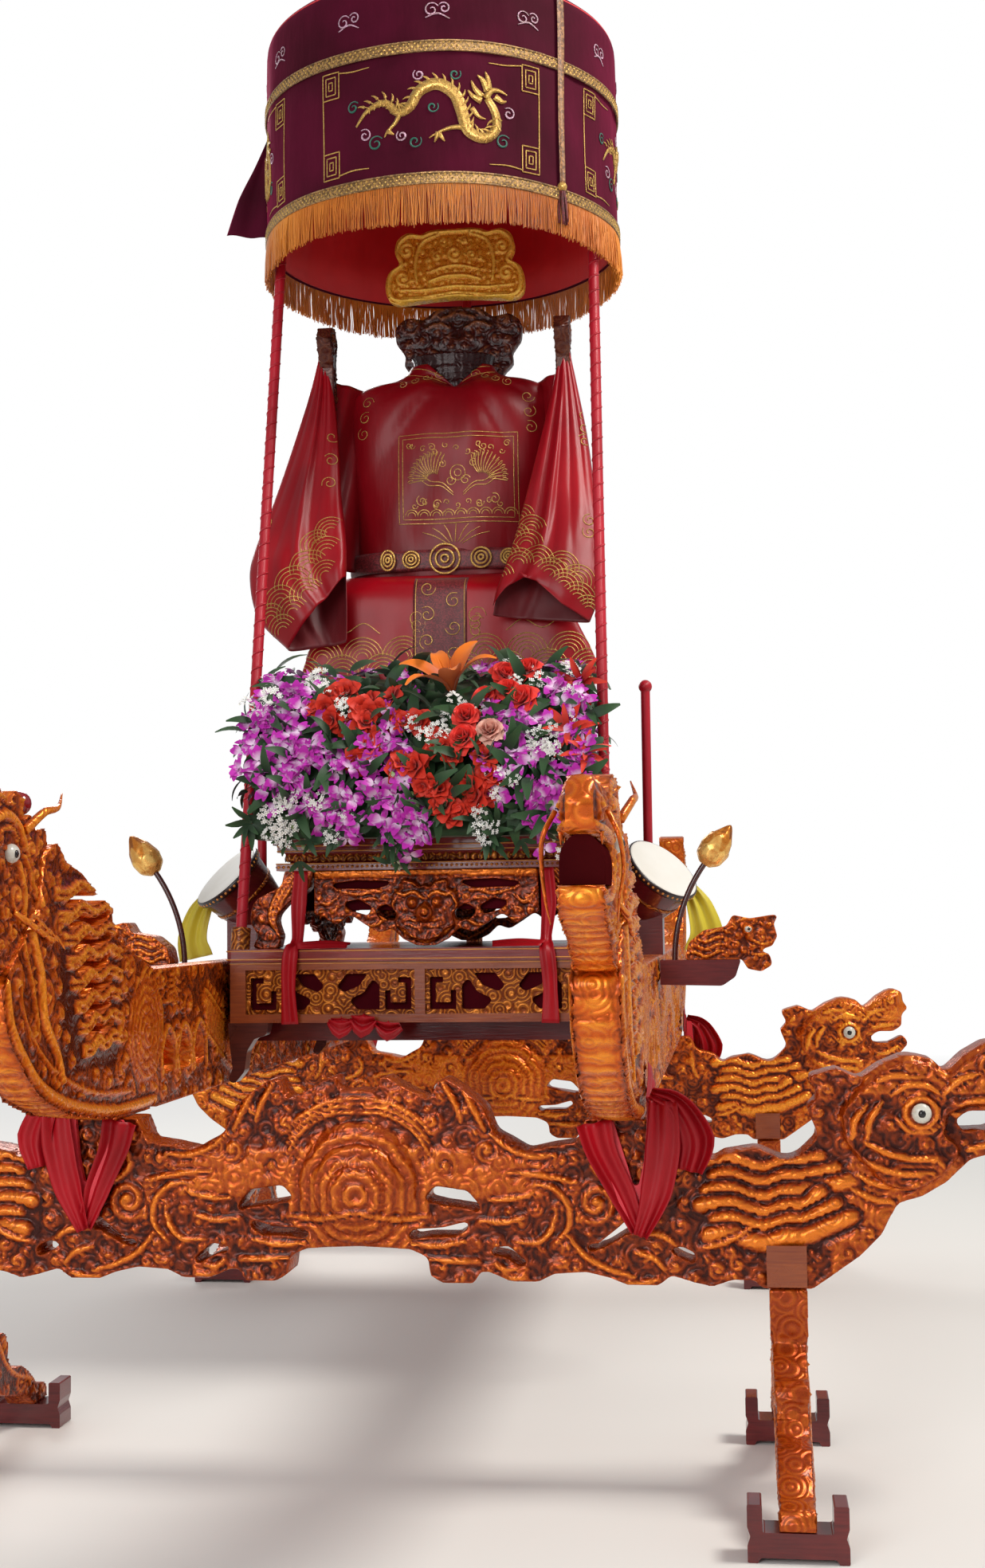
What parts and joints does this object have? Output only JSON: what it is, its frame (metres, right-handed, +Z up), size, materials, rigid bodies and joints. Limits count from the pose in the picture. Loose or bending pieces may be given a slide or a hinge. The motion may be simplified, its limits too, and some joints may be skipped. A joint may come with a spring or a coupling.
{
  "type": "processional palanquin",
  "caption": "Carved and gilded processional palanquin on trestle stands, with dragon beams, a two tier table, a dressed throne, a flower bank and a drum canopy.",
  "frame": {"origin": "on the floor, under the middle of the object's box", "axes": "+Z up, +Y along the long beams towards the tails, +X to the right seen from the front"},
  "size_m": [2.2796, 3.767, 3.212],
  "materials": {
    "gilt_carving": "gilded lacquer, satin",
    "orange_lacquer": "glossy lacquer",
    "dark_lacquer": "glossy lacquer",
    "red_lacquer": "glossy lacquer",
    "red_satin": "satin",
    "gold_cloth": "embroidered",
    "velvet": "velvet",
    "red_wrap": "satin",
    "brass_fittings": "polished",
    "gold_leaf": "gilded",
    "flowers": "petals and leaves"
  },
  "bodies": {
    "root": {"cross_beam_front": "gilt_carving", "cross_beam_rear": "gilt_carving", "nailed_plates": "orange_lacquer", "stand_front_right": "gilt_carving", "stand_front_left": "gilt_carving", "stand_rear_right": "gilt_carving", "stand_rear_left": "gilt_carving", "feet_front": "dark_lacquer", "feet_rear": "dark_lacquer", "long_beam_right": "gilt_carving", "long_beam_left": "gilt_carving", "dragon_head_right": "gilt_carving", "dragon_head_left": "gilt_carving", "bearers": "dark_lacquer", "tier_rails": "orange_lacquer", "tier_posts": "orange_lacquer", "tier_panels": "gilt_carving", "tier_linings": "dark_lacquer", "apron_backs": "dark_lacquer", "tier_board": "dark_lacquer", "tier_legs": "dark_lacquer", "table_legs": "gilt_carving", "apron_front": "gilt_carving", "apron_rear": "gilt_carving", "aprons_side": "gilt_carving", "table_top": "red_lacquer", "throne_base": "red_lacquer", "throne_seat": "red_lacquer", "throne_back": "dark_lacquer", "throne_arms": "gilt_carving", "robe_skirt": "red_satin", "robe_body": "red_satin", "sleeve_right": "red_satin", "sleeve_left": "red_satin", "hat": "gold_cloth", "canopy_drum": "velvet", "canopy_roof": "velvet", "canopy_poles": "red_wrap", "pole_sockets": "brass_fittings", "side_bars": "dark_lacquer", "side_bar_heads": "gilt_carving", "lotus_stems": "dark_lacquer", "lotus_buds": "gold_leaf", "hand_drums": "dark_lacquer", "drum_cradles": "dark_lacquer", "side_posts": "red_wrap", "flower_bank": "flowers", "beam_ties": "red_wrap"}
  },
  "joints": []
}
